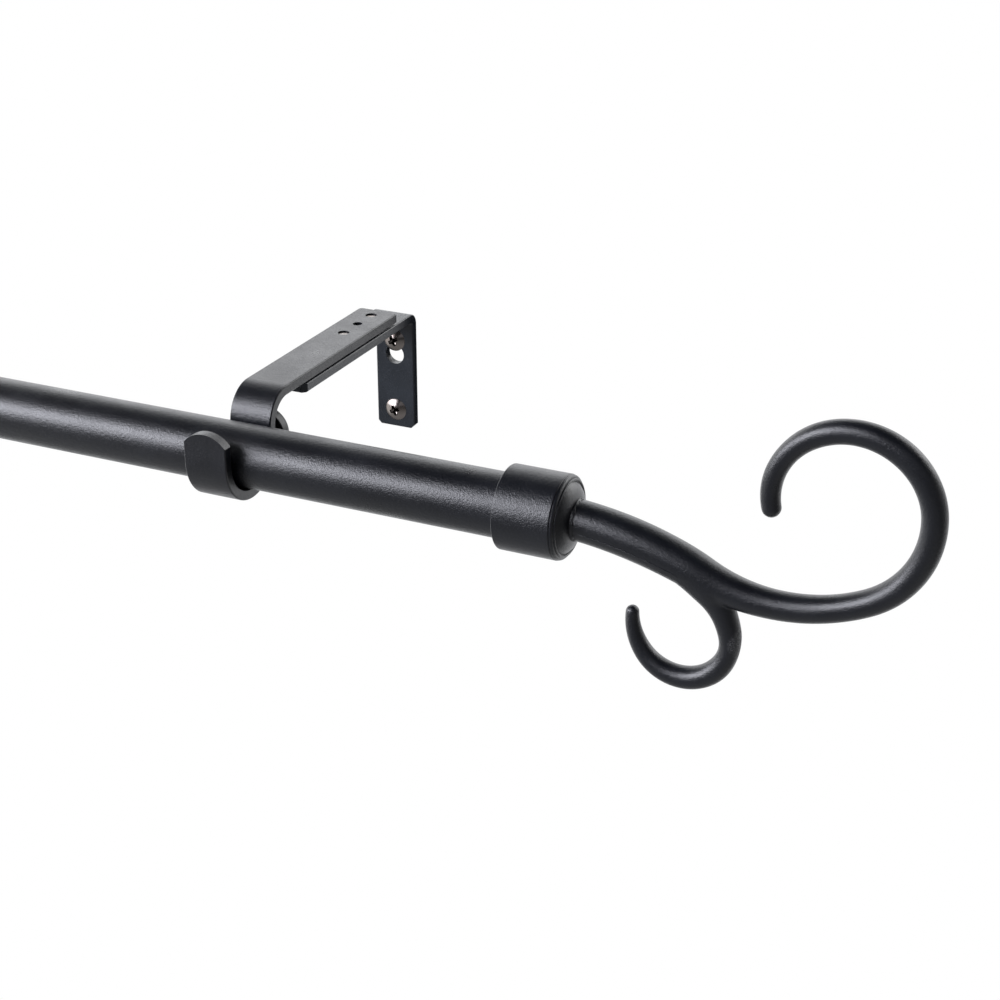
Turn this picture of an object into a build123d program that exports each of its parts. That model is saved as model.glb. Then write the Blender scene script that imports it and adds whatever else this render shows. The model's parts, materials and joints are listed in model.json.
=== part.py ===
"""Telescoping curtain rod with two adjustable wall brackets and two scroll finials.

Frame, millimetres: +X runs along the rod, +Y runs into the wall, +Z is up. The wall's face is the
plane Y = 0, and the origin is the middle of the four wall screws.
"""
import os
from math import cos, radians, sin

from build123d import *

# ---------------------------------------------------------------- driving dimensions
bracket_spacing = 520.0         # between the two brackets' middle planes
projection = 142.5              # rod axis to wall
axis_height = 15.4              # rod axis above the middle of the wall screws
finial_overhang = 120.6         # bracket's middle plane to the finial collar's open rim

# rod
outer_radius = 12.7             # 1 in tube
tube_wall = 0.8
telescope_clearance = 0.3       # radial, between the two tubes
inner_radius = outer_radius - tube_wall - telescope_clearance
outer_tube_length = 609.6       # 24 in
inner_tube_length = 724.0
tube_edge = 0.25                # rounding of the tubes' cut ends

# flat bar of the brackets
strip_width = 19.0
plate_thickness = 3.9
arm_thickness = 4.2
bar_edge = 0.6                  # rounding of the bar's long edges
corner_cut = 1.8                # clipped corners of the wall plate

# wall plate
wall_screw_spacing = 34.0
plate_below_screw = 8.1         # lower screw to the plate's lower end
leg_length = 100.0
leg_bend_radius = 5.5           # outside of the bend
leg_gap = 0.7                   # between the leg and the arm that lies on it
keyhole_radius = 4.6
keyhole_drop = 6.85             # from the upper screw down to the keyhole's round end
screw_slot_radius = 2.6

# arm
arm_rise = 20.3                 # rod axis up to the arm's top face
arm_bend_radius = 14.2          # outside of the bend
arm_rear_gap = 17.9             # arm's rear end to the wall
arm_corner_radius = 2.0
cradle_radius = 14.65           # inside of the hook that the rod lies in
cradle_offset = -0.7            # cradle's axis from the rod's axis, along Y
cradle_clearance = 0.43         # under the rod
tongue_height = 15.0            # tongue's rounded top above the rod axis
tongue_arc_radius = 11.8
hole_pitch = 12.5
last_hole_to_wall = 25.2
hole_count = 3
adjust_radius = 2.5             # M5 thread of the adjusting screws
spare_hole_radius = 2.1         # the arm's middle hole, which stays empty
adjust_slot_radius = 2.8
travel_in = 5.0                 # of the arm, towards the wall
travel_out = 35.0               # of the arm, away from the wall
travel_spare = 0.3              # left in the slot past each end of the travel

# screws
wall_thread_radius = 2.1        # no. 8 wood screw
wall_neck_radius = 1.8
wall_thread_length = 26.0
wall_tip_length = 5.0
wall_head_radius = 5.2
wall_head_height = 2.7
wall_head_edge = 0.5            # height of the head's rim
wall_dome_sagitta = 0.55        # how far the dome stands over the line from rim to crown
wall_recess_reach = 2.6
adjust_head_radius = 4.7
adjust_head_edge = 1.0
adjust_end_chamfer = 0.4
adjust_recess_reach = 2.4
adjust_head_height = 2.7
adjust_end_drop = 0.6           # screw's end below the arm's top face
recess_width = 1.15             # one wing of a cross recess
recess_depth = 1.7
recess_taper = 12.0             # degrees, of the recess's walls
clamp_radius = 2.5              # M5 clamp screw
clamp_fit = 0.05                # radial clearance in the arm and in the knob
clamp_gap = 0.3                 # tip to the tube's back
clamp_stand = 9.0               # tip to the knob's front rim
clamp_grip = 5.0                # length of the shank inside the knob
knob_radius = 10.9
knob_rim = 3.2                  # height of the knob's cylindrical rim
knob_height = 8.6
knob_hub_radius = 5.2
knob_hub_length = 2.0
knob_crown_radius = 4.5         # flat top of the knob's dome
knob_shoulder_drop = 1.6        # a point of the dome between rim and crown
knob_shoulder_radius = 8.6
knob_edge = 0.5
knob_edge_from = 10.0           # edges of a larger radius than this are rounded

# finial, measured along X from the collar's open rim
collar_radius = 16.4
collar_wall = 1.4
collar_length = 23.2
collar_edge = 0.5
liner_recess = 0.8              # liner's rim inside the collar's rim
liner_lead = 0.6                # chamfer of the liner's mouth
liner_slip = 0.1                # radial clearance on the tube
liner_turn = 0.1                # radial clearance inside the collar
liner_web = 2.5
liner_end = 20.4                # web's outer face
tube_end_gap = 0.3              # tube's end to the web
spigot_gap = 0.1                # web to the scroll's spigot, and web to the washer
base_disc_radius = 16.2
base_shoulder_length = 1.5
base_shoulder_radius = 1.9
bead_radius = 0.55
bead_ring_radius = 14.5
dome_start_radius = 13.8
dome_sagitta = 0.5
neck_radius = 8.3
neck_position = 27.9
neck_length = 0.9
finial_screw_radius = 2.5       # M5
finial_screw_grip = 11.0        # thread in the scroll's base
web_hole_radius = 2.8
washer_radius = 7.5
washer_thickness = 1.0
finial_head_radius = 4.6
finial_head_height = 3.0
finial_head_edge = 1.2

# scroll: tangent arcs as (radius, turn in degrees), and bar radius at stations along the bar
stem_start_angle = -4.5
main_arcs = ((155.5, -18.7), (71.0, 50.8), (37.7, 65.0), (29.0, 154.9), (25.5, 35.4))
main_radii = ((0.0, 7.75), (0.2, 7.3), (0.36, 5.2), (0.5, 4.75), (0.78, 4.65), (1.0, 3.45))
curl_arcs = ((35.4, -57.1), (18.5, -156.6), (24.3, -45.0))
curl_radii = ((0.0, 7.2), (0.15, 6.65), (0.26, 5.0), (0.38, 4.1), (0.5, 4.25), (0.67, 4.4), (1.0, 2.4))
curl_branch_turn = 14.1         # degrees of the first main arc before the small scroll leaves it

# ---------------------------------------------------------------- derived places
rod_y = -projection
rod_z = axis_height
bracket_x = {"right": bracket_spacing / 2, "left": -bracket_spacing / 2}
tube_radius = {"right": outer_radius, "left": inner_radius}
half_pattern = wall_screw_spacing / 2
plate_bottom = -half_pattern - plate_below_screw
arm_top = rod_z + arm_rise
arm_bottom = arm_top - arm_thickness
leg_top = arm_bottom - leg_gap
leg_bottom = leg_top - plate_thickness
arm_front_face = rod_y + cradle_offset + cradle_radius
cradle_y = rod_y + cradle_offset
cradle_z = rod_z - outer_radius - cradle_clearance + cradle_radius
rim_x = bracket_spacing / 2 + finial_overhang
liner_x = rim_x + liner_recess
web_end_x = rim_x + liner_end
web_x = web_end_x - liner_web
tube_end_x = web_x - tube_end_gap
washer_x = web_x - spigot_gap - washer_thickness
spigot_x = web_end_x + spigot_gap
collar_end_x = rim_x + collar_length
bead_x = collar_end_x + base_shoulder_length
neck_x = rim_x + neck_position
collar_bore_radius = collar_radius - collar_wall
hole_y = [-(last_hole_to_wall + i * hole_pitch) for i in range(hole_count)]
adjust_y = (hole_y[0], hole_y[-1])
slot_rear = adjust_y[0] + travel_in + travel_spare
slot_front = adjust_y[1] - travel_out - travel_spare
rod_axis = Axis((0, rod_y, rod_z), (1, 0, 0))
rod_section = Plane((0, rod_y, rod_z), x_dir=(1, 0, 0), z_dir=(0, -1, 0))

os.makedirs("parts", exist_ok=True)


def save(part, name):
    """Label a finished piece and write it."""
    part.label = name
    export_step(part, f"parts/{name}.step")


def cross_recess(crown, outward, across, reach):
    """Solid of a tapered cross recess that is sunk into a head from its crown."""
    top = Plane(crown, x_dir=across, z_dir=outward)
    with BuildPart() as recess:
        for turn in (0, 90):
            with BuildSketch(top.rotated((0, 0, turn))):
                Rectangle(2 * reach, recess_width)
            extrude(amount=-recess_depth, taper=recess_taper)
    return recess.part


def edges_on_sides(part, middle_x):
    """Edges that lie in a bar's two side faces, middle_x being the bar's middle."""
    sides = part.faces().filter_by(Axis.X).sort_by(SortBy.AREA)[-2:]
    return ShapeList([edge for side in sides for edge in side.outer_wire().edges()])


# ---------------------------------------------------------------- rod
tubes = (
    ("outer_tube", outer_radius, tube_end_x - outer_tube_length, outer_tube_length),
    ("inner_tube", inner_radius, -tube_end_x, inner_tube_length),
)
for tube_name, radius, start_x, length in tubes:
    with BuildPart() as tube:
        with BuildSketch(Plane((start_x, rod_y, rod_z), x_dir=(0, 1, 0), z_dir=(1, 0, 0))):
            Circle(radius)
            Circle(radius - tube_wall, mode=Mode.SUBTRACT)
        extrude(amount=length)
        fillet(tube.edges().filter_by(GeomType.CIRCLE), tube_edge)
    save(tube.part, tube_name)


# ---------------------------------------------------------------- brackets
def make_wall_plate(side):
    """L of flat bar: a plate on the wall with a keyhole and a hole, and a slotted leg."""
    middle = bracket_x[side]
    with BuildPart() as wall_plate:
        with BuildSketch(Plane.YZ.offset(middle - strip_width / 2)):
            with BuildLine():
                Polyline(
                    (0, plate_bottom),
                    (0, leg_top),
                    (-leg_length, leg_top),
                    (-leg_length, leg_bottom),
                    (-plate_thickness, leg_bottom),
                    (-plate_thickness, plate_bottom),
                    close=True,
                )
            make_face()
        extrude(amount=strip_width)
        bend_edges = wall_plate.edges().filter_by(Axis.X)
        fillet(bend_edges.sort_by_distance((middle, 0, leg_top))[0], leg_bend_radius)
        inside_corner = (middle, -plate_thickness, leg_bottom)
        bend_edges = wall_plate.edges().filter_by(Axis.X)
        fillet(bend_edges.sort_by_distance(inside_corner)[0], leg_bend_radius - plate_thickness)
        chamfer(wall_plate.edges().filter_by(Axis.Y).group_by(Axis.Z)[0], corner_cut)
        chamfer(wall_plate.edges().filter_by(Axis.Z).group_by(Axis.Y)[0], corner_cut)
        fillet(edges_on_sides(wall_plate.part, middle), bar_edge)
        with BuildSketch(Plane.XZ):
            with Locations((middle, -half_pattern), (middle, half_pattern)):
                Circle(screw_slot_radius)
            with Locations((middle, half_pattern - keyhole_drop)):
                Circle(keyhole_radius)
            with Locations((middle, half_pattern - keyhole_drop / 2)):
                Rectangle(2 * screw_slot_radius, keyhole_drop)
        extrude(amount=plate_thickness, mode=Mode.SUBTRACT)
        with BuildSketch(Plane.XY.offset(leg_bottom)):
            with Locations((middle, (slot_rear + slot_front) / 2)):
                SlotCenterToCenter(slot_rear - slot_front, 2 * adjust_slot_radius, rotation=90)
        extrude(amount=plate_thickness, mode=Mode.SUBTRACT)
    save(wall_plate.part, f"wall_plate_{side}")


def make_arm(side):
    """Flat bar that lies on the leg, bends down behind the rod and hooks round under it."""
    middle = bracket_x[side]
    bend_y = arm_front_face + arm_bend_radius
    bend_z = arm_top - arm_bend_radius
    inner_bend = arm_bend_radius - arm_thickness
    hook_radius = cradle_radius + arm_thickness
    tip_z = rod_z + tongue_height
    with BuildPart() as arm:
        with BuildSketch(Plane.YZ.offset(middle - strip_width / 2)):
            with BuildLine():
                Line((-arm_rear_gap, arm_top), (bend_y, arm_top))
                CenterArc((bend_y, bend_z), arm_bend_radius, 90, 90)
                Line((arm_front_face, bend_z), (arm_front_face, cradle_z))
                CenterArc((cradle_y, cradle_z), cradle_radius, 0, -180)
                Line((cradle_y - cradle_radius, cradle_z), (cradle_y - cradle_radius, tip_z))
                Line((cradle_y - cradle_radius, tip_z), (cradle_y - hook_radius, tip_z))
                Line((cradle_y - hook_radius, tip_z), (cradle_y - hook_radius, cradle_z))
                CenterArc((cradle_y, cradle_z), hook_radius, 180, 180)
                Line((cradle_y + hook_radius, cradle_z), (cradle_y + hook_radius, bend_z))
                CenterArc((bend_y, bend_z), inner_bend, 180, -90)
                Line((bend_y, arm_bottom), (-arm_rear_gap, arm_bottom))
                Line((-arm_rear_gap, arm_bottom), (-arm_rear_gap, arm_top))
            make_face()
        extrude(amount=strip_width)
        fillet(arm.edges().filter_by(Axis.Z).group_by(Axis.Y)[-1], arm_corner_radius)
        with BuildSketch(Plane.XZ.offset(-(cradle_y - cradle_radius))):
            with Locations((middle, tip_z)):
                Rectangle(2 * strip_width, tongue_arc_radius)
            with Locations((middle, tip_z - tongue_arc_radius)):
                Circle(tongue_arc_radius, mode=Mode.SUBTRACT)
        extrude(amount=2 * arm_thickness, mode=Mode.SUBTRACT)
        fillet(edges_on_sides(arm.part, middle), bar_edge)
        with BuildSketch(Plane.XY.offset(arm_bottom)):
            with Locations(*[(middle, y) for y in hole_y]):
                Circle(spare_hole_radius)
            with Locations(*[(middle, y) for y in adjust_y]):
                Circle(adjust_radius)
        extrude(amount=arm_thickness, mode=Mode.SUBTRACT)
        with BuildSketch(Plane.XZ.offset(-(arm_front_face + 2 * arm_thickness))):
            with Locations((middle, rod_z)):
                Circle(clamp_radius + clamp_fit)
        extrude(amount=3 * arm_thickness, mode=Mode.SUBTRACT)
    save(arm.part, f"arm_{side}")


def make_wall_screws(side):
    """Two dome-headed wood screws: threads from the wall's face inwards, heads on the plate."""
    middle = bracket_x[side]
    crown_y = -plate_thickness - wall_head_height
    rim_y = -plate_thickness - wall_head_edge
    heights = (-half_pattern, half_pattern)
    recesses = [
        cross_recess((middle, crown_y, z), (0, -1, 0), (1, 0, 0), wall_recess_reach) for z in heights
    ]
    with BuildPart() as wall_screws:
        for z in heights:
            with BuildSketch(Plane.YZ.offset(middle)):
                with BuildLine():
                    Polyline(
                        (crown_y, z),
                        (wall_thread_length + wall_tip_length, z),
                        (wall_thread_length, z + wall_thread_radius),
                        (0, z + wall_thread_radius),
                        (0, z + wall_neck_radius),
                        (-plate_thickness, z + wall_neck_radius),
                        (-plate_thickness, z + wall_head_radius),
                        (rim_y, z + wall_head_radius),
                    )
                    SagittaArc((rim_y, z + wall_head_radius), (crown_y, z), wall_dome_sagitta)
                make_face()
            revolve(axis=Axis((middle, 0, z), (0, 1, 0)))
        add(recesses, mode=Mode.SUBTRACT)
    save(wall_screws.part, f"wall_screws_{side}")


def make_adjusting_screws(side):
    """Two machine screws from under the leg, through its slot, into the arm's first and last hole."""
    middle = bracket_x[side]
    crown_z = leg_bottom - adjust_head_height
    recesses = [
        cross_recess((middle, y, crown_z), (0, 0, -1), (1, 0, 0), adjust_recess_reach)
        for y in adjust_y
    ]
    with BuildPart() as adjusting_screws:
        for y in adjust_y:
            with BuildSketch(Plane((middle, y, leg_bottom), x_dir=(1, 0, 0), z_dir=(0, 0, 1))):
                Circle(adjust_radius)
            extrude(amount=arm_top - adjust_end_drop - leg_bottom)
            with BuildSketch(Plane((middle, y, leg_bottom), x_dir=(1, 0, 0), z_dir=(0, 0, -1))):
                Circle(adjust_head_radius)
            extrude(amount=adjust_head_height)
        rims = adjusting_screws.edges().filter_by(GeomType.CIRCLE).group_by(Axis.Z)
        fillet(rims[0], adjust_head_edge)
        chamfer(rims[-1], adjust_end_chamfer)
        add(recesses, mode=Mode.SUBTRACT)
    save(adjusting_screws.part, f"adjusting_screws_{side}")


def make_clamp_screw(side):
    """Thumb screw through the arm, level with the rod: its shank, and its domed knob."""
    middle = bracket_x[side]
    tip_y = rod_y + tube_radius[side] + clamp_gap
    rim_y = tip_y + clamp_stand
    with BuildPart() as shank:
        with BuildSketch(Plane((middle, tip_y, rod_z), x_dir=(1, 0, 0), z_dir=(0, 1, 0))):
            Circle(clamp_radius)
        extrude(amount=clamp_stand + clamp_grip)
        chamfer(shank.edges().filter_by(GeomType.CIRCLE).group_by(Axis.Y)[0], knob_edge)
    save(shank.part, f"clamp_shank_{side}")

    hub_y = rim_y - knob_hub_length
    back_y = rim_y + knob_height
    with BuildPart() as knob:
        with BuildSketch(Plane.YZ.offset(middle)):
            with BuildLine():
                Polyline(
                    (rim_y + clamp_grip + clamp_fit, rod_z),
                    (rim_y + clamp_grip + clamp_fit, rod_z + clamp_radius + clamp_fit),
                    (hub_y, rod_z + clamp_radius + clamp_fit),
                    (hub_y, rod_z + knob_hub_radius),
                    (rim_y, rod_z + knob_hub_radius),
                    (rim_y, rod_z + knob_radius),
                    (rim_y + knob_rim, rod_z + knob_radius),
                )
                ThreePointArc(
                    (rim_y + knob_rim, rod_z + knob_radius),
                    (back_y - knob_shoulder_drop, rod_z + knob_shoulder_radius),
                    (back_y, rod_z + knob_crown_radius),
                )
                Polyline(
                    (back_y, rod_z + knob_crown_radius),
                    (back_y, rod_z),
                    (rim_y + clamp_grip + clamp_fit, rod_z),
                )
            make_face()
        revolve(axis=Axis((middle, 0, rod_z), (0, 1, 0)))
        rim_edges = knob.edges().filter_by(GeomType.CIRCLE).filter_by(lambda e: e.radius > knob_edge_from)
        fillet(rim_edges, knob_edge)
    save(knob.part, f"clamp_knob_{side}")


for side_name in ("right", "left"):
    make_wall_plate(side_name)
    make_arm(side_name)
    make_wall_screws(side_name)
    make_adjusting_screws(side_name)
    make_clamp_screw(side_name)


# ---------------------------------------------------------------- finials
def bar_along(start, heading, arcs, radii):
    """Round bar of changing radius along tangent arcs in the rod's upright plane, with a round tip."""
    with BuildPart() as bar:
        with BuildLine(rod_section) as route:
            point = start
            for arc_radius, turn in arcs:
                tangent = (cos(radians(heading)), sin(radians(heading)))
                point = JernArc(point, tangent, arc_radius, turn) @ 1
                heading += turn
        path = route.wires()[0]
        for place, radius in radii:
            with BuildSketch(Plane(path @ place, x_dir=(0, 1, 0), z_dir=path % place)):
                Circle(radius)
        sweep(path=path, multisection=True)
        with Locations(path @ 1):
            Sphere(radii[-1][1])
    return bar.part


def make_scroll():
    """Cast scroll: a spigot for the collar, the domed base disc, the stem and two scrolls."""
    with BuildPart() as scroll:
        with BuildSketch(rod_section):
            with BuildLine():
                Polyline(
                    (spigot_x, 0),
                    (spigot_x, collar_bore_radius),
                    (collar_end_x, collar_bore_radius),
                    (collar_end_x, base_disc_radius),
                )
                RadiusArc(
                    (collar_end_x, base_disc_radius),
                    (bead_x, bead_ring_radius),
                    base_shoulder_radius,
                )
                Line((bead_x, bead_ring_radius), (bead_x, dome_start_radius))
                SagittaArc((bead_x, dome_start_radius), (neck_x, neck_radius), dome_sagitta)
                Polyline(
                    (neck_x, neck_radius),
                    (neck_x + neck_length, neck_radius),
                    (neck_x + neck_length, 0),
                    (spigot_x, 0),
                )
            make_face()
        revolve(axis=rod_axis)
        with Locations(Plane((bead_x, rod_y, rod_z), z_dir=(1, 0, 0))):
            Torus(bead_ring_radius, bead_radius)
        add(bar_along((neck_x, 0), stem_start_angle, main_arcs, main_radii))
        first_radius = main_arcs[0][0]
        with BuildLine(rod_section, mode=Mode.PRIVATE):
            heading = (cos(radians(stem_start_angle)), sin(radians(stem_start_angle)))
            to_branch = JernArc((neck_x, 0), heading, first_radius, -curl_branch_turn)
        add(bar_along(to_branch @ 1, stem_start_angle - curl_branch_turn, curl_arcs, curl_radii))
        with BuildSketch(Plane((spigot_x, rod_y, rod_z), x_dir=(0, 1, 0), z_dir=(1, 0, 0))):
            Circle(finial_screw_radius)
        extrude(amount=finial_screw_grip, mode=Mode.SUBTRACT)
    return scroll.part


def make_collar():
    """Sleeve round the rod's end."""
    with BuildPart() as collar:
        with BuildSketch(Plane((rim_x, rod_y, rod_z), x_dir=(0, 1, 0), z_dir=(1, 0, 0))):
            Circle(collar_radius)
            Circle(collar_bore_radius, mode=Mode.SUBTRACT)
        extrude(amount=collar_length)
        rims = collar.edges().filter_by(GeomType.CIRCLE).sort_by(SortBy.RADIUS)
        fillet(rims[-2:], collar_edge)
    return collar.part


def make_liner(side):
    """Cup that slips over the tube's end and carries the screw in its bottom."""
    with BuildPart() as liner:
        with BuildSketch(Plane((liner_x, rod_y, rod_z), x_dir=(0, 1, 0), z_dir=(1, 0, 0))):
            Circle(collar_bore_radius - liner_turn)
        extrude(amount=web_end_x - liner_x)
        with BuildSketch(Plane((liner_x, rod_y, rod_z), x_dir=(0, 1, 0), z_dir=(1, 0, 0))):
            Circle(tube_radius[side] + liner_slip)
        extrude(amount=web_x - liner_x, mode=Mode.SUBTRACT)
        with BuildSketch(Plane((web_x, rod_y, rod_z), x_dir=(0, 1, 0), z_dir=(1, 0, 0))):
            Circle(web_hole_radius)
        extrude(amount=liner_web, mode=Mode.SUBTRACT)
        mouth_edges = liner.edges().group_by(Axis.X)[0].sort_by(SortBy.RADIUS)
        chamfer(mouth_edges[0], liner_lead)
    return liner.part


def make_finial_screw():
    """Pan-headed machine screw from inside the liner into the scroll's base."""
    with BuildPart() as finial_screw:
        with BuildSketch(Plane((washer_x, rod_y, rod_z), x_dir=(0, 1, 0), z_dir=(-1, 0, 0))):
            Circle(finial_head_radius)
        extrude(amount=finial_head_height)
        fillet(finial_screw.edges().group_by(Axis.X)[0], finial_head_edge)
        with BuildSketch(Plane((washer_x, rod_y, rod_z), x_dir=(0, 1, 0), z_dir=(1, 0, 0))):
            Circle(finial_screw_radius)
        extrude(amount=spigot_x + finial_screw_grip - washer_x)
        crown = (washer_x - finial_head_height, rod_y, rod_z)
        add(cross_recess(crown, (-1, 0, 0), (0, 1, 0), adjust_recess_reach), mode=Mode.SUBTRACT)
    return finial_screw.part


def make_washer():
    """Plain washer between the screw's head and the liner's web."""
    with BuildPart() as washer:
        with BuildSketch(Plane((washer_x, rod_y, rod_z), x_dir=(0, 1, 0), z_dir=(1, 0, 0))):
            Circle(washer_radius)
            Circle(finial_screw_radius, mode=Mode.SUBTRACT)
        extrude(amount=washer_thickness)
    return washer.part


finial_pieces = {
    "scroll": make_scroll(),
    "collar": make_collar(),
    "finial_screw": make_finial_screw(),
    "washer": make_washer(),
}
for piece_name, piece in finial_pieces.items():
    save(piece, f"{piece_name}_right")
    save(mirror(piece, about=Plane.YZ), f"{piece_name}_left")
save(make_liner("right"), "liner_right")
save(mirror(make_liner("left"), about=Plane.YZ), "liner_left")
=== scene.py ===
"""Looks of the curtain rod with brackets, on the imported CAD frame. Metres, +X along the rod, +Y into the wall."""

import json
import math

import bmesh
import bpy
import numpy as np
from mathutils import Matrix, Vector


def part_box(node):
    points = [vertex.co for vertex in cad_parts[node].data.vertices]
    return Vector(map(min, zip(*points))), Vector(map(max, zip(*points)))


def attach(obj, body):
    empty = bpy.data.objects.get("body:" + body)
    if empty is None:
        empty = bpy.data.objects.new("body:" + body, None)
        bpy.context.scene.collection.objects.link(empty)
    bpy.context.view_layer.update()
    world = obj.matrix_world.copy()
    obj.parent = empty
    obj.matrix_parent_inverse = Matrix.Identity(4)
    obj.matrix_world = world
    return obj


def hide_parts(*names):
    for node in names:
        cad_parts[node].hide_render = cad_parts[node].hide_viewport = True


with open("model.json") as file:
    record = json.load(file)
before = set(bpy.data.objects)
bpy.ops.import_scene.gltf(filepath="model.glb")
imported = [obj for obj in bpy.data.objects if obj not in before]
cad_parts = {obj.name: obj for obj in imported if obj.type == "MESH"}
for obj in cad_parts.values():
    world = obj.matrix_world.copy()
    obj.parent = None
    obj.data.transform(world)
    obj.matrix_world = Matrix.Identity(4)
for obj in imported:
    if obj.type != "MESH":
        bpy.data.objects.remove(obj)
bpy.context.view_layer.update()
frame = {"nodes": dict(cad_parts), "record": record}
SIDES = {"right": 1.0, "left": -1.0}
MM = 0.001
NECK_FROM_RIM = 27.9 * MM  # along the rod, from the collar's open rim to the scroll's neck

# the rod's axis, and the finial's stations along it, from the CAD pieces
tube_lo, tube_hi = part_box("outer_tube")
ROD_Y = (tube_lo.y + tube_hi.y) / 2
ROD_Z = (tube_lo.z + tube_hi.z) / 2
collar_lo, collar_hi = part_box("collar_right")
RIM_X = collar_lo.x
COLLAR_END = collar_hi.x
NECK_X = RIM_X + NECK_FROM_RIM


# ---------------------------------------------------------------- mesh helpers
def new_object(name, verts, faces, sharp=30.0):
    """Mesh object with smooth shading and sharp edges above an angle."""
    mesh = bpy.data.meshes.new(name)
    mesh.from_pydata([tuple(map(float, v)) for v in verts], [], [tuple(map(int, f)) for f in faces])
    mesh.validate()
    obj = bpy.data.objects.new(name, mesh)
    bpy.context.scene.collection.objects.link(obj)
    mesh.shade_smooth()
    if sharp is not None:
        mesh.set_sharp_from_angle(angle=math.radians(sharp))
    return obj


def face_outwards(mesh):
    """Turn the normals of a closed mesh outwards."""
    bm = bmesh.new()
    bm.from_mesh(mesh)
    bmesh.ops.recalc_face_normals(bm, faces=bm.faces)
    bm.to_mesh(mesh)
    bm.free()


def lathe(name, profile, origin, axis, turns=96, closed=True, sharp=30.0):
    """Revolve (distance along axis, radius) points round an axis through origin."""
    axis = Vector(axis).normalized()
    side = axis.orthogonal().normalized()
    up = axis.cross(side)
    verts, faces, rings = [], [], []
    for along, radius in profile:
        centre = Vector(origin) + axis * along
        if radius < 1e-7:
            rings.append([len(verts)])
            verts.append(centre)
            continue
        ring = []
        for i in range(turns):
            a = 2 * math.pi * i / turns
            ring.append(len(verts))
            verts.append(centre + side * (radius * math.cos(a)) + up * (radius * math.sin(a)))
        rings.append(ring)
    pairs = list(zip(rings, rings[1:] + rings[:1])) if closed else list(zip(rings, rings[1:]))
    for a, b in pairs:
        if len(a) == 1 and len(b) == 1:
            continue
        for i in range(turns):
            j = (i + 1) % turns
            if len(a) == 1:
                faces.append((a[0], b[j], b[i]))
            elif len(b) == 1:
                faces.append((a[i], a[j], b[0]))
            else:
                faces.append((a[i], a[j], b[j], b[i]))
    obj = new_object(name, verts, faces, sharp)
    face_outwards(obj.data)
    return obj


def join(name, parts):
    """One object from the meshes of several, which are removed."""
    bm = bmesh.new()
    for part in parts:
        bm.from_mesh(part.data)
        bpy.data.objects.remove(part)
    mesh = bpy.data.meshes.new(name)
    bm.to_mesh(mesh)
    bm.free()
    obj = bpy.data.objects.new(name, mesh)
    bpy.context.scene.collection.objects.link(obj)
    return obj


def thread(name, origin, axis, length, core, outer, pitch, crest=0.8, tip=0.0, chamfer=0.0):
    """Closed screw thread from origin along axis, pointed over the last tip of its length or chamfered."""
    axis = Vector(axis).normalized()
    side = axis.orthogonal().normalized()
    up = axis.cross(side)
    turns, rows = 40, max(8, round(length / pitch * 10))
    verts, faces = [Vector(origin)], []
    for i in range(rows + 1):
        along = length * i / rows
        runout = min(1.0, along / pitch, (length - along) / pitch + 0.15)
        for k in range(turns):
            a = 2 * math.pi * k / turns
            phase = (along / pitch - k / turns) % 1.0
            height = max(0.0, 1.0 - abs(2 * phase - 1.0) / crest)
            radius = core + (outer - core) * height * runout
            if tip > 0:
                radius *= min(1.0, (length - along) / tip + 0.02)
            if chamfer > 0:
                radius = min(radius, outer - chamfer + (length - along))
            verts.append(Vector(origin) + axis * along + (side * math.cos(a) + up * math.sin(a)) * radius)
    verts.append(Vector(origin) + axis * length)
    last = len(verts) - 1
    for k in range(turns):
        m = (k + 1) % turns
        faces.append((0, 1 + m, 1 + k))
        for i in range(rows):
            a, b = 1 + i * turns, 1 + (i + 1) * turns
            faces.append((a + k, a + m, b + m, b + k))
        faces.append((last, last - turns + k, last - turns + m))
    return new_object(name, verts, faces, 38)


def carve_cross(obj, crown, inward, across, reach, width, depth, taper=0.2, sharp=30.0):
    """Sink a cross recess with slanting walls and rounded inner corners into a screw's head.

    The recess's faces get material index 1, which carries the painted shade in the recess.
    """
    inward, across = Vector(inward).normalized(), Vector(across).normalized()
    up = inward.cross(across)
    half, corner = width / 2, width * 0.28
    quarter = [(reach - corner * 0.5, -half), (reach, -half + corner * 0.5), (reach, half - corner * 0.5),
               (reach - corner * 0.5, half), (half + corner, half), (half + corner * 0.3, half + corner * 0.3)]
    outline = []
    for k in range(4):
        c, n = math.cos(k * math.pi / 2), math.sin(k * math.pi / 2)
        outline += [(x * c - y * n, x * n + y * c) for x, y in quarter]
    verts = []
    for along, scale in ((-0.6 * depth, 1.0 + 0.6 * taper), (0.55 * depth, 1.0 - 0.55 * taper), (depth, 0.42)):
        verts += [Vector(crown) + inward * along + (across * x + up * y) * scale for x, y in outline]
    n = len(outline)
    faces = [tuple(range(n))[::-1], tuple(range(2 * n, 3 * n))]
    for row in (0, n):
        faces += [(row + k, row + (k + 1) % n, row + n + (k + 1) % n, row + n + k) for k in range(n)]
    cutter = new_object("cutter", verts, faces, None)
    face_outwards(cutter.data)
    cut = obj.modifiers.new("recess", "BOOLEAN")
    cut.object = cutter
    cut.solver = "EXACT"
    bpy.context.view_layer.update()
    depsgraph = bpy.context.evaluated_depsgraph_get()
    mesh = bpy.data.meshes.new_from_object(obj.evaluated_get(depsgraph))
    obj.modifiers.clear()
    obj.data = mesh
    mesh.shade_smooth()
    mesh.set_sharp_from_angle(angle=math.radians(sharp))
    # mark the faces inside the recess for the painted shade
    for face in mesh.polygons:
        from_crown = face.center - Vector(crown)
        sunk = from_crown.dot(inward)
        radial = (from_crown - inward * sunk).length
        face.material_index = int(radial < 1.1 * reach and (face.normal.dot(inward) > -0.5 or sunk > 0.8 * depth))
    bpy.data.objects.remove(cutter)


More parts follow.
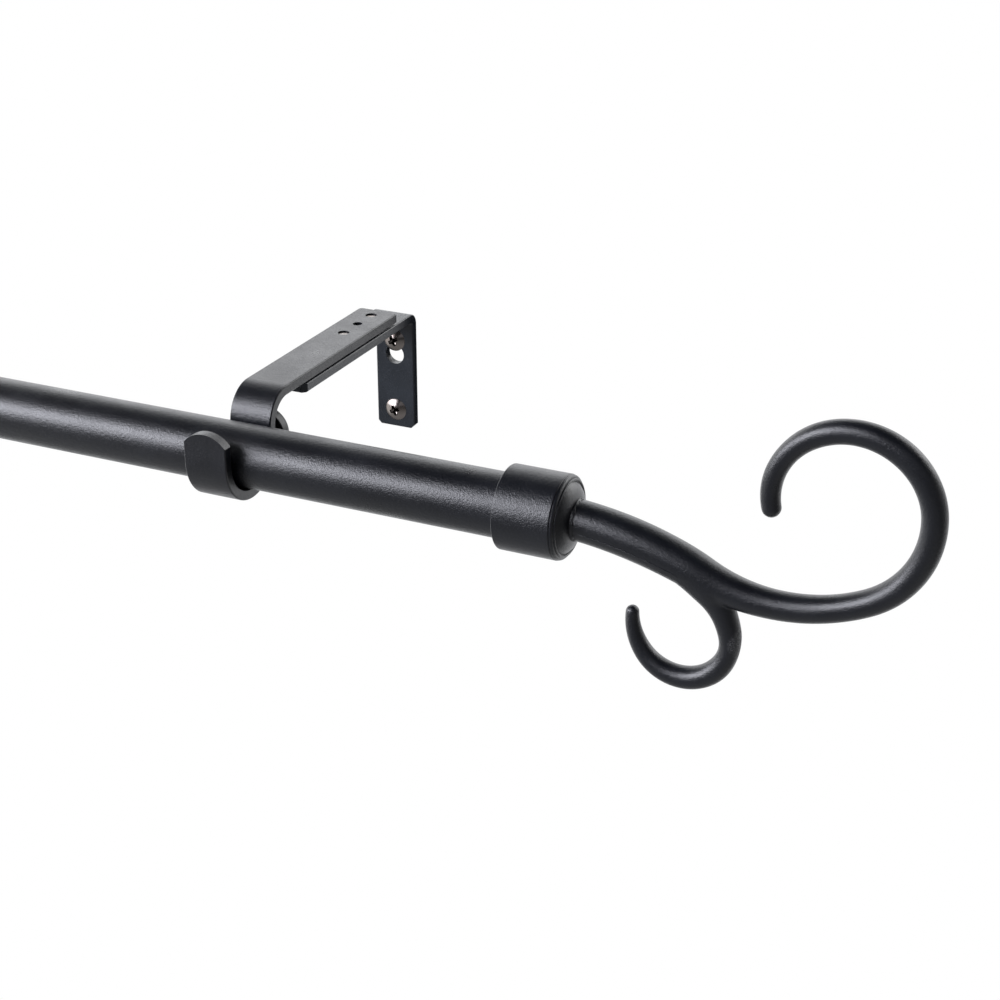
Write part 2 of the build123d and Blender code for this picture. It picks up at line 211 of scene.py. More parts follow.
# ---------------------------------------------------------------- materials
def shader(name, color, rough, metallic=0.0):
    """Principled material with its nodes and a position that follows the piece."""
    mat = bpy.data.materials.new(name)
    mat.use_nodes = True
    nodes, links = mat.node_tree.nodes, mat.node_tree.links
    bsdf = nodes["Principled BSDF"]
    bsdf.inputs["Base Color"].default_value = (*color, 1)
    bsdf.inputs["Roughness"].default_value = rough
    bsdf.inputs["Metallic"].default_value = metallic
    place = nodes.new("ShaderNodeTexCoord")
    return mat, nodes, links, bsdf, place


def noise(nodes, links, place, scale, detail=3.0, roughness=0.5):
    tex = nodes.new("ShaderNodeTexNoise")
    tex.inputs["Scale"].default_value = scale
    tex.inputs["Detail"].default_value = detail
    tex.inputs["Roughness"].default_value = roughness
    links.new(place.outputs["Object"], tex.inputs["Vector"])
    return tex


def ramp(nodes, links, source, stops):
    node = nodes.new("ShaderNodeValToRGB")
    while len(node.color_ramp.elements) < len(stops):
        node.color_ramp.elements.new(0.5)
    for e, (pos, col) in zip(node.color_ramp.elements, stops):
        e.position = pos
        e.color = (*col, 1)
    links.new(source, node.inputs["Fac"])
    return node


def map_range(nodes, links, source, lo, hi, out_lo, out_hi):
    node = nodes.new("ShaderNodeMapRange")
    node.inputs["From Min"].default_value = lo
    node.inputs["From Max"].default_value = hi
    node.inputs["To Min"].default_value = out_lo
    node.inputs["To Max"].default_value = out_hi
    links.new(source, node.inputs["Value"])
    return node


def colour_and_gloss(nodes, links, bsdf, pattern, stops, gloss_range):
    """Let a noise pattern vary the base colour, and the roughness over its range (from, to, roughest, least)."""
    shade = ramp(nodes, links, pattern.outputs["Fac"], stops)
    links.new(shade.outputs["Color"], bsdf.inputs["Base Color"])
    gloss = map_range(nodes, links, pattern.outputs["Fac"], *gloss_range)
    links.new(gloss.outputs["Result"], bsdf.inputs["Roughness"])


def raise_bumps(nodes, links, bsdf, height, strength, distance):
    """Bump the surface by a height, as far as a distance in metres."""
    bump = nodes.new("ShaderNodeBump")
    bump.inputs["Strength"].default_value = strength
    bump.inputs["Distance"].default_value = distance
    links.new(height, bump.inputs["Height"])
    links.new(bump.outputs["Normal"], bsdf.inputs["Normal"])


def file_strokes(nodes, links, place, height, middle):
    """Add strokes of a file to a height, near one place on each side of the object."""
    split = nodes.new("ShaderNodeSeparateXYZ")
    links.new(place.outputs["Object"], split.inputs["Vector"])
    mirrored = nodes.new("ShaderNodeMath")
    mirrored.operation = "ABSOLUTE"
    links.new(split.outputs["X"], mirrored.inputs[0])
    where = nodes.new("ShaderNodeCombineXYZ")
    links.new(mirrored.outputs["Value"], where.inputs["X"])
    links.new(split.outputs["Y"], where.inputs["Y"])
    links.new(split.outputs["Z"], where.inputs["Z"])
    reach = nodes.new("ShaderNodeVectorMath")
    reach.operation = "DISTANCE"
    reach.inputs[1].default_value = middle
    links.new(where.outputs["Vector"], reach.inputs[0])
    near = map_range(nodes, links, reach.outputs["Value"], 3 * MM, 6.5 * MM, 8.0, 0.0)
    strokes = nodes.new("ShaderNodeTexWave")
    strokes.bands_direction = "Z"
    strokes.inputs["Scale"].default_value = 330.0
    strokes.inputs["Distortion"].default_value = 3.0
    strokes.inputs["Detail Scale"].default_value = 300.0
    links.new(place.outputs["Object"], strokes.inputs["Vector"])
    filed = nodes.new("ShaderNodeMath")
    filed.operation = "MULTIPLY_ADD"
    links.new(strokes.outputs["Fac"], filed.inputs[0])
    links.new(near.outputs["Result"], filed.inputs[1])
    links.new(height, filed.inputs[2])
    return filed.outputs["Value"]


def powder_coat(name, color, rough=0.32, peel=0.09 * MM, grain=2.2, marks=None):
    """Satin powder coat: fine orange peel, faint mottling, and file marks round one place if it's given."""
    mat, nodes, links, bsdf, place = shader(name, color, rough)
    mottle = noise(nodes, links, place, 55.0, 4.0, 0.6)
    colour_and_gloss(nodes, links, bsdf, mottle, (
        (0.3, tuple(c * 0.8 for c in color)),
        (0.7, tuple(c * 1.22 for c in color)),
    ), (0.3, 0.7, rough - 0.05, rough + 0.05))
    fine = noise(nodes, links, place, 2500.0, 2.0, 0.55)
    cells = nodes.new("ShaderNodeTexVoronoi")
    cells.inputs["Scale"].default_value = 900.0
    cells.feature = "SMOOTH_F1"
    links.new(place.outputs["Object"], cells.inputs["Vector"])
    mix = nodes.new("ShaderNodeMath")
    mix.operation = "MULTIPLY_ADD"
    mix.inputs[1].default_value = grain
    links.new(fine.outputs["Fac"], mix.inputs[0])
    links.new(cells.outputs["Distance"], mix.inputs[2])
    height = mix.outputs["Value"]
    if marks:
        height = file_strokes(nodes, links, place, height, marks)
    raise_bumps(nodes, links, bsdf, height, 0.6, peel)
    return mat


def plated(name, color, rough, tint):
    """Plated steel: metal with a fine grain, and tarnish of another tint in places."""
    mat, nodes, links, bsdf, place = shader(name, color, rough, 1.0)
    patch = noise(nodes, links, place, 260.0, 5.0, 0.6)
    colour_and_gloss(nodes, links, bsdf, patch, (
        (0.35, color),
        (0.62, tuple(c * 0.8 + t * 0.2 for c, t in zip(color, tint))),
        (0.8, tint),
    ), (0.3, 0.8, rough - 0.06, rough + 0.14))
    marks = noise(nodes, links, place, 2400.0, 2.0, 0.6)
    raise_bumps(nodes, links, bsdf, marks.outputs["Fac"], 0.25, 0.03 * MM)
    return mat


def plastic(name, color, rough):
    """Moulded plastic: fine spark-eroded texture and faint flow marks."""
    mat, nodes, links, bsdf, place = shader(name, color, rough)
    flow = noise(nodes, links, place, 120.0, 3.0, 0.5)
    colour_and_gloss(nodes, links, bsdf, flow, (
        (0.35, tuple(c * 0.85 for c in color)),
        (0.65, tuple(c * 1.2 for c in color)),
    ), (0.3, 0.7, rough - 0.06, rough + 0.08))
    grit = noise(nodes, links, place, 2600.0, 2.0, 0.6)
    raise_bumps(nodes, links, bsdf, grit.outputs["Fac"], 0.3, 0.04 * MM)
    return mat


BLACK = (0.0023, 0.0030, 0.0054)
FILED_AT = (NECK_X + 66 * MM, ROD_Y - 0.3 * MM, ROD_Z - 36.5 * MM)  # on the small scroll's outer side
MATERIALS = {
    "rod_coat": powder_coat("rod_coat", BLACK),
    "arm_coat": powder_coat("arm_coat", BLACK),
    "plate_coat": powder_coat("plate_coat", (0.0090, 0.0120, 0.0170)),
    "finial_coat": powder_coat("finial_coat", BLACK),
    "cast_coat": powder_coat("cast_coat", BLACK, marks=FILED_AT),
    "dark_nickel": plated("dark_nickel", (0.22, 0.20, 0.188), 0.22, (0.15, 0.098, 0.068)),
    # painted shade: near-black metal on the walls of the cross recesses, where shade falls
    "painted_shade_recess": plated("painted_shade_recess", (0.0015, 0.0014, 0.0013), 0.5, (0.003, 0.002, 0.0015)),
    "zinc": plated("zinc", (0.62, 0.62, 0.61), 0.3, (0.5, 0.48, 0.42)),
    "knob_black": plastic("knob_black", (0.003, 0.003, 0.0033), 0.38),
    "liner_nylon": plastic("liner_nylon", (0.03, 0.03, 0.032), 0.55),
}
slot_of = {s["node"]: s["material_slot"] for s in frame["record"]["subparts"]}


def dress(obj, slot):
    """Give a piece the material of this name."""
    obj.data.materials.clear()
    obj.data.materials.append(MATERIALS[slot])


for node, obj in frame["nodes"].items():
    dress(obj, slot_of[node])

# ---------------------------------------------------------------- the finials' scrolls
# Two round bars that follow tangent arcs in the XZ plane, in millimetres and degrees. Arcs are (radius, turn),
# radii are (place along the bar, radius).
STEM_ANGLE = -4.85
MAIN_ARCS = ((155.5, -18.7), (71.0, 50.8), (37.7, 65.0), (29.0, 154.9), (25.5, 35.4))
CURL_ARCS = ((35.6, -57.1), (18.5, -156.6), (24.3, -39.5))
MAIN_RADII = ((0, 7.85), (31, 7.7), (46, 7.35), (60, 6.4), (75, 5.65), (89, 5.3), (98, 5.12), (125, 4.9),
              (160, 4.62), (185, 4.7), (203, 4.47), (214, 4.3), (227, 3.9), (243, 3.72), (251, 3.55))
CURL_RADII = ((0, 7.2), (16, 6.65), (22.5, 5.57), (27, 5.0), (36.5, 4.36), (42, 4.0), (55, 4.35),
              (65, 4.4), (79, 4.0), (88, 3.5), (97, 2.9), (105, 2.4))
BRANCH_TURN = 14.1  # how far the main bar has turned where the small scroll leaves it
HALF_DEPTH = 9.5    # of the box round the scroll, along Y
FAR = 9.0           # distance given to places that no bar is near


def centre_line(start, heading, arcs, step=0.25):
    """Points and lengths along tangent arcs, in millimetres."""
    points, lengths = [np.array(start, float)], [0.0]
    heading = math.radians(heading)
    for radius, turn in arcs:
        length = radius * math.radians(abs(turn))
        n = max(2, math.ceil(length / step))
        d = math.radians(turn) / n
        chord = 2 * radius * math.sin(abs(d) / 2)
        for _ in range(n):
            heading += d / 2
            points.append(points[-1] + chord * np.array((math.cos(heading), math.sin(heading))))
            lengths.append(lengths[-1] + length / n)
            heading += d / 2
    return np.array(points), np.array(lengths)


def smooth_radii(lengths, table):
    """Bar radius at each length, eased between the table's stations."""
    xs, ys = np.array(table, float).T
    slope = np.gradient(ys, xs)
    i = np.clip(np.searchsorted(xs, lengths) - 1, 0, len(xs) - 2)
    h = xs[i + 1] - xs[i]
    t = (lengths - xs[i]) / h
    return ((2 * t ** 3 - 3 * t ** 2 + 1) * ys[i] + (t ** 3 - 2 * t ** 2 + t) * h * slope[i]
            + (-2 * t ** 3 + 3 * t ** 2) * ys[i + 1] + (t ** 3 - t ** 2) * h * slope[i + 1])


main_line, main_len = centre_line((0, 0), STEM_ANGLE, MAIN_ARCS)
branch_at = math.radians(BRANCH_TURN) * MAIN_ARCS[0][0]
k = int(np.argmin(abs(main_len - branch_at)))
curl_line, curl_len = centre_line(main_line[k], STEM_ANGLE - BRANCH_TURN, CURL_ARCS)
BARS = (
    (main_line, smooth_radii(main_len, MAIN_RADII), main_len),
    (curl_line, smooth_radii(curl_len, CURL_RADII), curl_len),
)


def bar_distance(points, line, radii, lengths):
    """Distance to a round bar, the unit direction away from it, and the place along it."""
    dist = np.empty(len(points))
    away = np.empty((len(points), 3))
    along = np.empty(len(points))
    for s in range(0, len(points), 20000):
        p = points[s:s + 20000]
        dx = p[:, None, 0] - line[None, :, 0]
        dz = p[:, None, 2] - line[None, :, 1]
        d = np.sqrt(dx * dx + dz * dz + p[:, 1:2] ** 2) - radii[None, :]
        i = d.argmin(1)
        r = np.arange(len(p))
        vec = np.stack([dx[r, i], p[:, 1], dz[r, i]], 1)
        norm = np.linalg.norm(vec, axis=1)
        dist[s:s + 20000] = norm - radii[i]
        away[s:s + 20000] = vec / np.maximum(norm, 1e-9)[:, None]
        along[s:s + 20000] = lengths[i]
    return dist, away, along


def blend_width(points, along):
    """How far the two bars melt together: not before they part, widely in the left crotch, hardly in the right."""
    right = np.clip((points[:, 0] - (curl_line[60, 0] + 1.0)) / 8.0, 0, 1)
    parted = np.clip((along - 9.0) / 14.0, 0, 1)
    return 0.02 + (3.4 * (1 - right) + 0.8 * right) * parted ** 2 * (3 - 2 * parted)


def scroll_distance(points):
    """Distance to the whole scroll, and its direction."""
    (d1, n1, _), (d2, n2, along) = (bar_distance(points, *bar) for bar in BARS)
    width = blend_width(points, along)
    h = np.clip(0.5 + 0.5 * (d2 - d1) / width, 0, 1)
    dist = d2 * (1 - h) + d1 * h - width * h * (1 - h)
    n = n1 * h[:, None] + n2 * (1 - h)[:, None]
    return dist, n / np.linalg.norm(n, axis=1)[:, None]


def surface_net(voxel=0.62):
    """Closed quad mesh of the scroll, in millimetres, with its vertices drawn onto the surface."""
    lines = np.concatenate([main_line, curl_line])
    lo = np.array((lines[:, 0].min() - 10, -HALF_DEPTH, lines[:, 1].min() - 8))
    hi = np.array((lines[:, 0].max() + 8, HALF_DEPTH, lines[:, 1].max() + 8))
    size = np.ceil((hi - lo) / voxel).astype(int) + 1
    field = np.full(size, FAR)
    for line, radii, _ in BARS:
        part = np.full(size, FAR)
        for (x, z), r in list(zip(line, radii))[::2]:
            centre = np.array((x, 0.0, z))
            a = np.maximum(((centre - r - 3 - lo) / voxel).astype(int), 0)
            b = np.minimum(((centre + r + 3 - lo) / voxel).astype(int) + 2, size)
            gx, gy, gz = (lo[i] + voxel * np.arange(a[i], b[i]) - centre[i] for i in range(3))
            d = np.sqrt(gx[:, None, None] ** 2 + gy[None, :, None] ** 2 + gz[None, None, :] ** 2) - r
            block = part[a[0]:b[0], a[1]:b[1], a[2]:b[2]]
            np.minimum(block, d, out=block)
        field = np.minimum(part, field)
    inside = field < 0
    corners = [(i, j, m) for i in (0, 1) for j in (0, 1) for m in (0, 1)]
    n = size - 1

    def shifted(array, c):
        return array[c[0]:c[0] + n[0], c[1]:c[1] + n[1], c[2]:c[2] + n[2]]

    count = sum(shifted(inside, c).astype(np.int8) for c in corners)
    cells = np.argwhere((count > 0) & (count < 8))
    index = -np.ones(n, int)
    index[tuple(cells.T)] = np.arange(len(cells))
    total = np.zeros((len(cells), 3))
    hits = np.zeros(len(cells))
    for a in corners:
        for b in corners:
            if sum(abs(p - q) for p, q in zip(a, b)) != 1 or a > b:
                continue
            ca, cb = cells + a, cells + b
            fa, fb = field[tuple(ca.T)], field[tuple(cb.T)]
            cross = (fa < 0) != (fb < 0)
            t = np.where(cross, fa / np.where(cross, fa - fb, 1), 0)
            total += cross[:, None] * (ca + t[:, None] * (cb - ca))
            hits += cross
    points = lo + voxel * total / hits[:, None]
    for _ in range(4):
        dist, normal = scroll_distance(points)
        points -= normal * np.clip(dist, -voxel, voxel)[:, None]
    faces = []
    for axis in range(3):
        u, v = [i for i in range(3) if i != axis]
        step = np.eye(3, dtype=int)
        low = inside[tuple(slice(0, size[i] - (1 if i == axis else 0)) for i in range(3))]
        high = inside[tuple(slice(1 if i == axis else 0, size[i]) for i in range(3))]
        edges = np.argwhere(low != high)
        edges = edges[(edges[:, u] > 0) & (edges[:, v] > 0)]
        out = low[tuple(edges.T)]
        quad = [index[tuple((edges - du * step[u] - dv * step[v]).T)]
                for du, dv in ((0, 0), (1, 0), (1, 1), (0, 1))]
        quad = np.stack(quad, 1)
        if axis == 1:
            out = ~out
        quad[~out] = quad[~out][:, ::-1]
        faces.append(quad)
    return points, np.concatenate(faces)


def base_profile():
    """Outline of the base disc, from the spigot in the collar to the neck: (distance from the rim, radius)."""
    spigot_from, spigot, bore = 20.5 * MM, 15.0 * MM, 2.5 * MM
    seam = COLLAR_END - RIM_X
    gap, lip = 0.05 * MM, 0.12 * MM
    shoulder, rounding = 14.95 * MM, 1.25 * MM
    bead = seam + 1.5 * MM
    bead_ring, bead_height, bead_rise = 14.5 * MM, 0.5 * MM, 0.45 * MM
    neck, neck_radius, dome, bulge_height = NECK_X - RIM_X, 8.3 * MM, 13.8 * MM, 0.5 * MM
    profile = [(spigot_from, bore), (spigot_from, spigot - 0.3 * MM), (spigot_from + 0.3 * MM, spigot),
               (seam - gap, spigot), (seam - gap, 16.0 * MM), (seam + lip, shoulder + rounding)]
    for i in range(1, 9):
        a = math.pi / 2 * i / 8
        profile.append((seam + lip + rounding * math.sin(a), shoulder + rounding * math.cos(a)))
    for i in range(9):
        a = math.pi * (i / 8)
        profile.append((bead + bead_height * math.sin(a), bead_ring + bead_rise * math.cos(a)))
    profile.append((bead, dome))
    for i in range(1, 12):
        t = i / 12
        bulge = bulge_height * 4 * t * (1 - t)
        profile.append((bead + (neck - bead) * t + bulge * 0.88, dome + (neck_radius - dome) * t + bulge * 0.48))
    return profile + [(neck, neck_radius), (neck + 0.6 * MM, neck_radius),
                      (neck + 0.9 * MM, neck_radius - 0.25 * MM), (neck + 0.9 * MM, bore)]


BASE_PROFILE = base_profile()
RING_RADIUS = 7.75          # of the rough ring, in millimetres
LEAN = math.radians(13)     # of the mould line, down from the stem's front
net_points, net_faces = surface_net()
for side, sign in SIDES.items():
    verts = net_points * MM * (sign, 1, 1) + (sign * NECK_X, ROD_Y, ROD_Z)
    faces = net_faces if sign > 0 else net_faces[:, ::-1]
    scroll = new_object(f"scroll_bars_{side}", verts, faces, None)
    dress(scroll, "cast_coat")
    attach(scroll, f"finial_{side}")

    base = lathe(f"scroll_base_{side}", BASE_PROFILE, (sign * RIM_X, ROD_Y, ROD_Z), (sign, 0, 0), 128)
    dress(base, "finial_coat")
    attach(base, f"finial_{side}")
    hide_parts(f"scroll_{side}")

    # left by the casting: a mould line on the stem's front and a rough ring where the stem leaves the base
    line, ring = [], []
    for i in range(0, 181, 3):
        t = i / 180
        x, z = main_line[i + 6]
        tangent = main_line[i + 7] - main_line[i + 6]
        tangent = tangent / np.linalg.norm(tangent)
        r = BARS[0][1][i + 6]
        centre = np.array((x + tangent[1] * math.sin(LEAN) * r, -math.cos(LEAN) * r,
                           z - tangent[0] * math.sin(LEAN) * r))
        thick = 0.2 * min(1.0, 8 * t + 0.1, 5 * (1 - t) + 0.1) * (1 + 0.35 * math.sin(23 * t) * math.sin(9 * t))
        line.append((centre, np.array((0.0, 1.0, 0.0)), np.array((-tangent[1], 0.0, tangent[0])), thick))
    for i in range(97):
        a = 2 * math.pi * i / 96
        thick = 0.42 + 0.12 * math.sin(5 * a + 1) + 0.1 * math.sin(11 * a) + 0.08 * math.sin(19 * a + 2)
        outward = np.array((0.0, math.cos(a), math.sin(a)))
        centre = np.array((0.85, 0.0, -0.05)) + outward * RING_RADIUS
        ring.append((centre, outward, np.array((1.0, 0.0, 0.0)), thick))
    for name, stations in (("mould_line", line), ("neck_ring", ring)):
        verts, faces = [], []
        for centre, u, v, thick in stations:
            for k in range(10):
                a = math.pi * k / 5
                p = (centre + thick * (u * math.cos(a) + v * math.sin(a))) * MM * (sign, 1, 1)
                verts.append(p + (sign * NECK_X, ROD_Y, ROD_Z))
        for i in range(len(stations) - 1):
            for k in range(10):
                m = (k + 1) % 10
                faces.append((10 * i + k, 10 * i + m, 10 * i + 10 + m, 10 * i + 10 + k)[::int(sign)])
        bead = new_object(f"{name}_{side}", verts, faces, None)
        dress(bead, "cast_coat")
        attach(bead, f"finial_{side}")


# ---------------------------------------------------------------- screws
M5 = (2.08 * MM, 2.48 * MM, 0.8 * MM, 0.9)          # core, outside, pitch, crest
WALL_CROSS = (2.7 * MM, 1.7 * MM, 2.1 * MM)         # reach, width, depth
SMALL_CROSS = (2.4 * MM, 1.15 * MM, 1.7 * MM)


def pan_head(name, crown, inward, radius, edge, height, sagitta):
    """Domed screw head: crown, dome, rounded rim and flat underside."""
    profile = [(0.0, 0.0)]
    for i in range(1, 15):
        t = i / 14
        rise = (height - edge) * t * t * 0.62 + (height - edge) * t * 0.38
        profile.append((max(0.0, rise - sagitta * 4 * t * (1 - t) * 0.12), radius * t * (1 - 0.012 * t)))
    profile += [(height - edge + 0.12 * edge, radius), (height - 0.25 * edge, radius),
                (height, radius - 0.15 * MM), (height, 0.0)]
    return lathe(name, profile, crown, inward, 72, False, 40)


def finish(obj, slot, body, *nodes):
    """Dress a piece, put it on its body and let it stand for its CAD nodes."""
    obj.data.shade_smooth()
    obj.data.set_sharp_from_angle(angle=math.radians(38))
    recess = [face.material_index for face in obj.data.polygons]
    dress(obj, slot)
    # the recess faces take the near-black material: painted shade in the cross recess
    if any(recess):
        obj.data.materials.append(MATERIALS["painted_shade_recess"])
        obj.data.polygons.foreach_set("material_index", recess)
    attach(obj, body)
    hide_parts(*nodes)


for side in SIDES:
    lo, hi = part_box(f"wall_screws_{side}")
    head_radius = (hi.x - lo.x) / 2
    middle = (lo.x + hi.x) / 2
    parts = []
    for z in (lo.z + head_radius, hi.z - head_radius):
        head = pan_head("head", (middle, lo.y, z), (0, 1, 0), head_radius, 0.5 * MM, 2.7 * MM, 0.55 * MM)
        turn = 0.5 if z > 0 else 0.36
        carve_cross(head, (middle, lo.y, z), (0, 1, 0), (math.cos(turn), 0, math.sin(turn)), *WALL_CROSS)
        neck_y = lo.y + 2.5 * MM
        neck = thread("neck", (middle, neck_y, z), (0, 1, 0), 0.2 * MM - neck_y, 1.78 * MM, 1.8 * MM, 2 * MM)
        shank = thread("shank", (middle, 0.0, z), (0, 1, 0), hi.y, 1.45 * MM, 2.1 * MM, 1.8 * MM, 0.5, 5 * MM)
        parts += [head, neck, shank]
    finish(join(f"wall_screw_pair_{side}", parts), "dark_nickel", "wall_plates", f"wall_screws_{side}")

    lo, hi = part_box(f"adjusting_screws_{side}")
    head_radius = (hi.x - lo.x) / 2
    middle = (lo.x + hi.x) / 2
    parts = []
    for y in (lo.y + head_radius, hi.y - head_radius):
        # the head stays 0.03 mm clear of the leg's underside
        head = pan_head("head", (middle, y, lo.z), (0, 0, 1), head_radius, 1.2 * MM, 2.67 * MM, 0.3 * MM)
        carve_cross(head, (middle, y, lo.z), (0, 0, 1), (1, 0, 0), *SMALL_CROSS)
        start = lo.z + 2.5 * MM
        shank = thread("shank", (middle, y, start), (0, 0, 1), hi.z - start, *M5, 0.0, 0.45 * MM)
        parts += [head, shank]
    finish(join(f"adjusting_screw_pair_{side}", parts), slot_of[f"adjusting_screws_{side}"], f"arm_{side}",
           f"adjusting_screws_{side}")

    lo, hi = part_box(f"clamp_shank_{side}")
    centre = (lo + hi) / 2
    shank = thread(f"clamp_thread_{side}", (centre.x, hi.y, centre.z), (0, -1, 0), hi.y - lo.y,
                   2.08 * MM, 2.49 * MM, 0.8 * MM, 0.9, 0.0, 0.5 * MM)
    finish(shank, slot_of[f"clamp_shank_{side}"], f"clamp_shank_{side}", f"clamp_shank_{side}")

    lo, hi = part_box(f"finial_screw_{side}")
    sign = SIDES[side]
    crown_x = lo.x if sign > 0 else hi.x
    head_radius = (hi.y - lo.y) / 2
    crown = (crown_x, (lo.y + hi.y) / 2, (lo.z + hi.z) / 2)
    head = pan_head("head", crown, (sign, 0, 0), head_radius, 1.4 * MM, 3.0 * MM, 0.3 * MM)
    carve_cross(head, crown, (sign, 0, 0), (0, 1, 0), *SMALL_CROSS)
    under_head = 2.8 * MM
    shank = thread("shank", (crown_x + sign * under_head, crown[1], crown[2]), (sign, 0, 0),
                   hi.x - lo.x - under_head, *M5, 0.0, 0.45 * MM)
    finish(join(f"finial_bolt_{side}", [head, shank]), slot_of[f"finial_screw_{side}"], f"finial_{side}",
           f"finial_screw_{side}")

# ---------------------------------------------------------------- camera, light, floor
camera = bpy.data.objects.new("camera", bpy.data.cameras.new("camera"))
bpy.context.scene.collection.objects.link(camera)
camera.data.sensor_width = 36.0
camera.data.lens = 70.25
camera.location = (0.6554, -0.7437, 0.3221)
back = Vector((0.3816, -0.8244, 0.41795))
camera.rotation_mode = "QUATERNION"
camera.rotation_quaternion = (-back).to_track_quat("-Z", "Y")
camera.data.clip_end = 50.0
bpy.context.scene.camera = camera

world = bpy.data.worlds.new("studio")
bpy.context.scene.world = world
world.use_nodes = True
wn, wl = world.node_tree.nodes, world.node_tree.links
wn.clear()
# light is a function of direction: the angle round X, from the front upwards, and the part along X
coords = wn.new("ShaderNodeTexCoord")
split = wn.new("ShaderNodeSeparateXYZ")
wl.new(coords.outputs["Generated"], split.inputs["Vector"])
flip = wn.new("ShaderNodeMath")
flip.operation = "MULTIPLY"
flip.inputs[1].default_value = -1.0
wl.new(split.outputs["Y"], flip.inputs[0])
angle = wn.new("ShaderNodeMath")
angle.operation = "ARCTAN2"
wl.new(split.outputs["Z"], angle.inputs[0])
wl.new(flip.outputs["Value"], angle.inputs[1])
TOP = 18.5  # the softbox's level, to which the ramps are scaled
around = map_range(wn, wl, angle.outputs["Value"], -math.pi, math.pi, 0.0, 1.0)
across = map_range(wn, wl, split.outputs["X"], -1.0, 1.0, 0.0, 1.0)


def levels(source, stops, lowest, span, top=1.0, tint=(1.0, 1.0, 1.0)):
    """Light levels, as shares of the top one, at places along a source that runs from lowest over a span."""
    return ramp(wn, wl, source.outputs["Result"], [
        ((at - lowest) / span, tuple(level / top * c for c in tint)) for at, level in stops
    ])


def combine(kind, a, b):
    node = wn.new("ShaderNodeVectorMath")
    node.operation = kind
    wl.new(a, node.inputs[0])
    wl.new(b, node.inputs[1])
    return node.outputs["Vector"]


# a softbox in front and above whose light fades towards the right, a strip behind and above on the right,
# weak light all round, and two side fills
COOL = (0.905, 0.915, 1.0)
PALE = (0.965, 0.975, 1.0)
box_turn = levels(around, (
    (-180, 0), (8, 0), (20, TOP), (40, TOP), (52, 0), (180, 0),
), -180, 360, TOP, COOL)
box_side = levels(across, (
    (-1, 0.8), (-0.6, 1.0), (-0.45, 0.98), (-0.38, 0.42), (-0.3, 0.17), (-0.2, 0.058), (0, 0.025), (1, 0.016),
), -1, 2)
strip_turn = levels(around, (
    (-180, 0), (126, 0), (140, 2.2), (168, 2.2), (178, 0), (180, 0),
), -180, 360, TOP)
strip_side = levels(across, ((-1, 0), (0.2, 0), (0.32, 1), (0.6, 1), (0.75, 0), (1, 0)), -1, 2)
rest_turn = levels(around, (
    (-180, 1.2), (-150, 1.2), (-126, 1.1), (-100, 0.4), (-62, 0.52), (-24, 0.34), (6, 0.1), (20, 0.02),
    (114, 0.03), (134, 0.6), (148, 2.45), (165, 2.45), (180, 1.4),
), -180, 360, TOP, PALE)
rest_side = levels(across, ((-1, 1), (0.6, 1), (0.85, 0.35), (1, 0.35)), -1, 2)
side_fill = levels(across, (
    (-1, 1.0), (-0.85, 0.9), (-0.7, 0.12), (-0.5, 0.03), (0.66, 0.03), (1, 0.1),
), -1, 2, TOP)
total = side_fill.outputs["Color"]
for turn, part in ((box_turn, box_side), (strip_turn, strip_side), (rest_turn, rest_side)):
    total = combine("ADD", total, combine("MULTIPLY", turn.outputs["Color"], part.outputs["Color"]))
lit = wn.new("ShaderNodeBackground")
lit.inputs["Strength"].default_value = TOP
wl.new(total, lit.inputs["Color"])
plain = wn.new("ShaderNodeBackground")
plain.inputs["Color"].default_value = (1, 1, 1, 1)
plain.inputs["Strength"].default_value = 1.0
path = wn.new("ShaderNodeLightPath")
pick = wn.new("ShaderNodeMixShader")
wl.new(path.outputs["Is Camera Ray"], pick.inputs["Fac"])
wl.new(lit.outputs["Background"], pick.inputs[1])
wl.new(plain.outputs["Background"], pick.inputs[2])
out = wn.new("ShaderNodeOutputWorld")
wl.new(pick.outputs["Shader"], out.inputs["Surface"])


def stage_paint(name, grey, rough):
    mat = bpy.data.materials.new(name)
    mat.use_nodes = True
    bsdf = mat.node_tree.nodes["Principled BSDF"]
    bsdf.inputs["Base Color"].default_value = (grey, grey, grey, 1)
    bsdf.inputs["Roughness"].default_value = rough
    return mat, bsdf


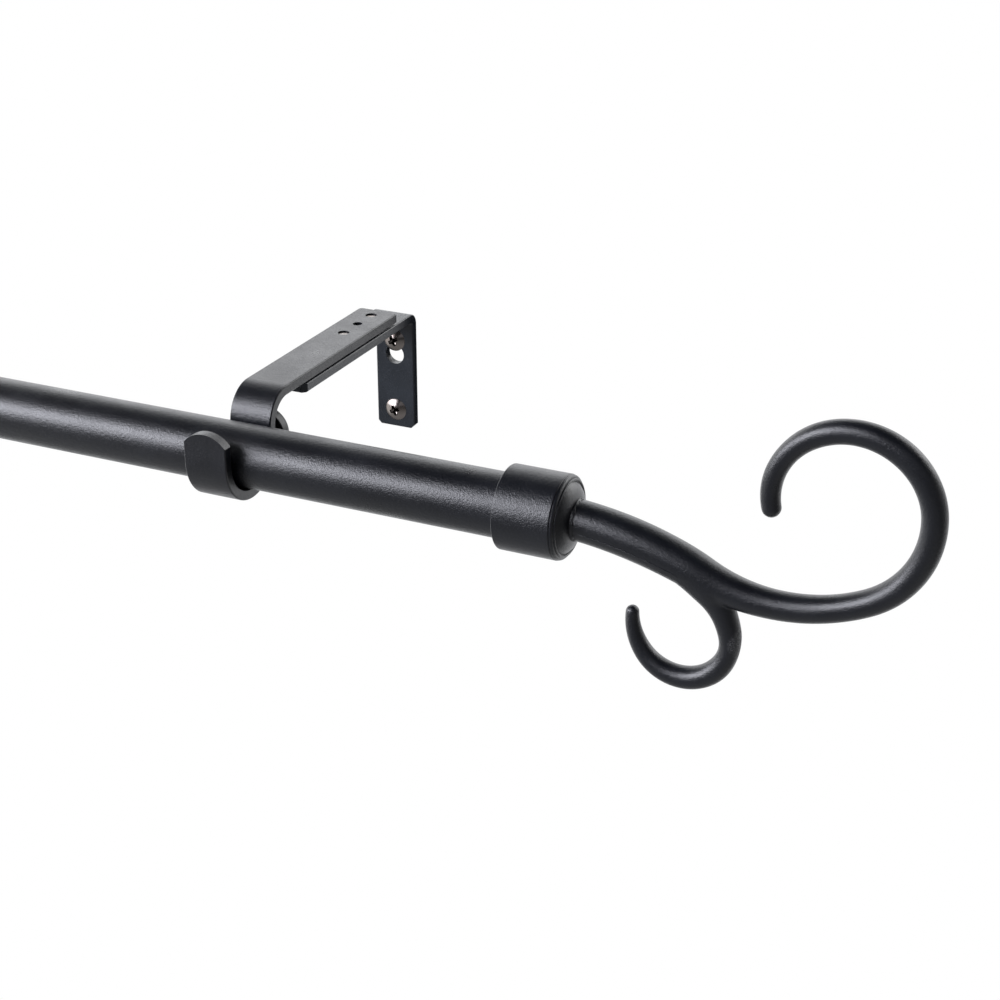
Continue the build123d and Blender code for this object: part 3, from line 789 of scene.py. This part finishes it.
REACH, FLOOR_Z, WALL_Y = 6.0, -0.6, 0.3 * MM
floor = new_object("floor", [(-REACH, -REACH, FLOOR_Z), (REACH, -REACH, FLOOR_Z), (REACH, REACH, FLOOR_Z),
                             (-REACH, REACH, FLOOR_Z)], [(0, 1, 2, 3)], None)
paper, sheet = stage_paint("paper", 0.9, 0.9)
sheet.inputs["Emission Color"].default_value = (1, 1, 1, 1)
sheet.inputs["Emission Strength"].default_value = 0.75
floor.data.materials.append(paper)
floor.visible_glossy = False
floor.visible_diffuse = False

# the wall behind the plates: white from the front, see-through from behind
wall = new_object("wall", [(-REACH, WALL_Y, FLOOR_Z), (REACH, WALL_Y, FLOOR_Z), (REACH, WALL_Y, REACH),
                           (-REACH, WALL_Y, REACH)], [(0, 1, 2, 3)], None)
white = bpy.data.materials.new("white")
white.use_nodes = True
tn, tl = white.node_tree.nodes, white.node_tree.links
tn.clear()
shine = tn.new("ShaderNodeEmission")
clear = tn.new("ShaderNodeBsdfTransparent")
facing = tn.new("ShaderNodeNewGeometry")
choose = tn.new("ShaderNodeMixShader")
tl.new(facing.outputs["Backfacing"], choose.inputs["Fac"])
tl.new(shine.outputs["Emission"], choose.inputs[1])
tl.new(clear.outputs["BSDF"], choose.inputs[2])
surface = tn.new("ShaderNodeOutputMaterial")
tl.new(choose.outputs["Shader"], surface.inputs["Surface"])
wall.data.materials.append(white)
wall.visible_glossy = False
wall.visible_diffuse = False
wall.visible_transmission = False
wall.visible_shadow = False

# painted shade: dark cards on the wall, beside each plate and behind its slot, that show only in reflections and
# stand in for the wall's shade there
painted_shade_sheet, _ = stage_paint("painted_shade_sheet", 0.01, 1.0)
CARD_WIDTH, CARD_DROP, CARD_Y = 9.0 * MM, 20 * MM, 0.2 * MM
SLOT_BOTTOM, SLOT_TOP = 8 * MM, 17 * MM
for side, sign in SIDES.items():
    lo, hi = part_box(f"wall_plate_{side}")
    inner, edge = (lo.x, hi.x) if sign > 0 else (hi.x, lo.x)
    far = edge + sign * CARD_WIDTH
    verts = [(x, CARD_Y, z) for a, b, bottom, top in (
        (edge, far, lo.z - CARD_DROP, hi.z), (inner, edge, SLOT_BOTTOM, SLOT_TOP)
    ) for x, z in ((a, bottom), (b, bottom), (b, top), (a, top))]
    painted_shade_card = new_object(f"flag_{side}", verts, [(0, 1, 2, 3), (4, 5, 6, 7)], None)
    # the near-black sheet is painted shade of the wall, seen only in reflections
    painted_shade_card.data.materials.append(painted_shade_sheet)
    painted_shade_card.visible_camera = False
    painted_shade_card.visible_diffuse = False
    painted_shade_card.visible_shadow = False

bpy.context.scene.view_settings.view_transform = "Standard"
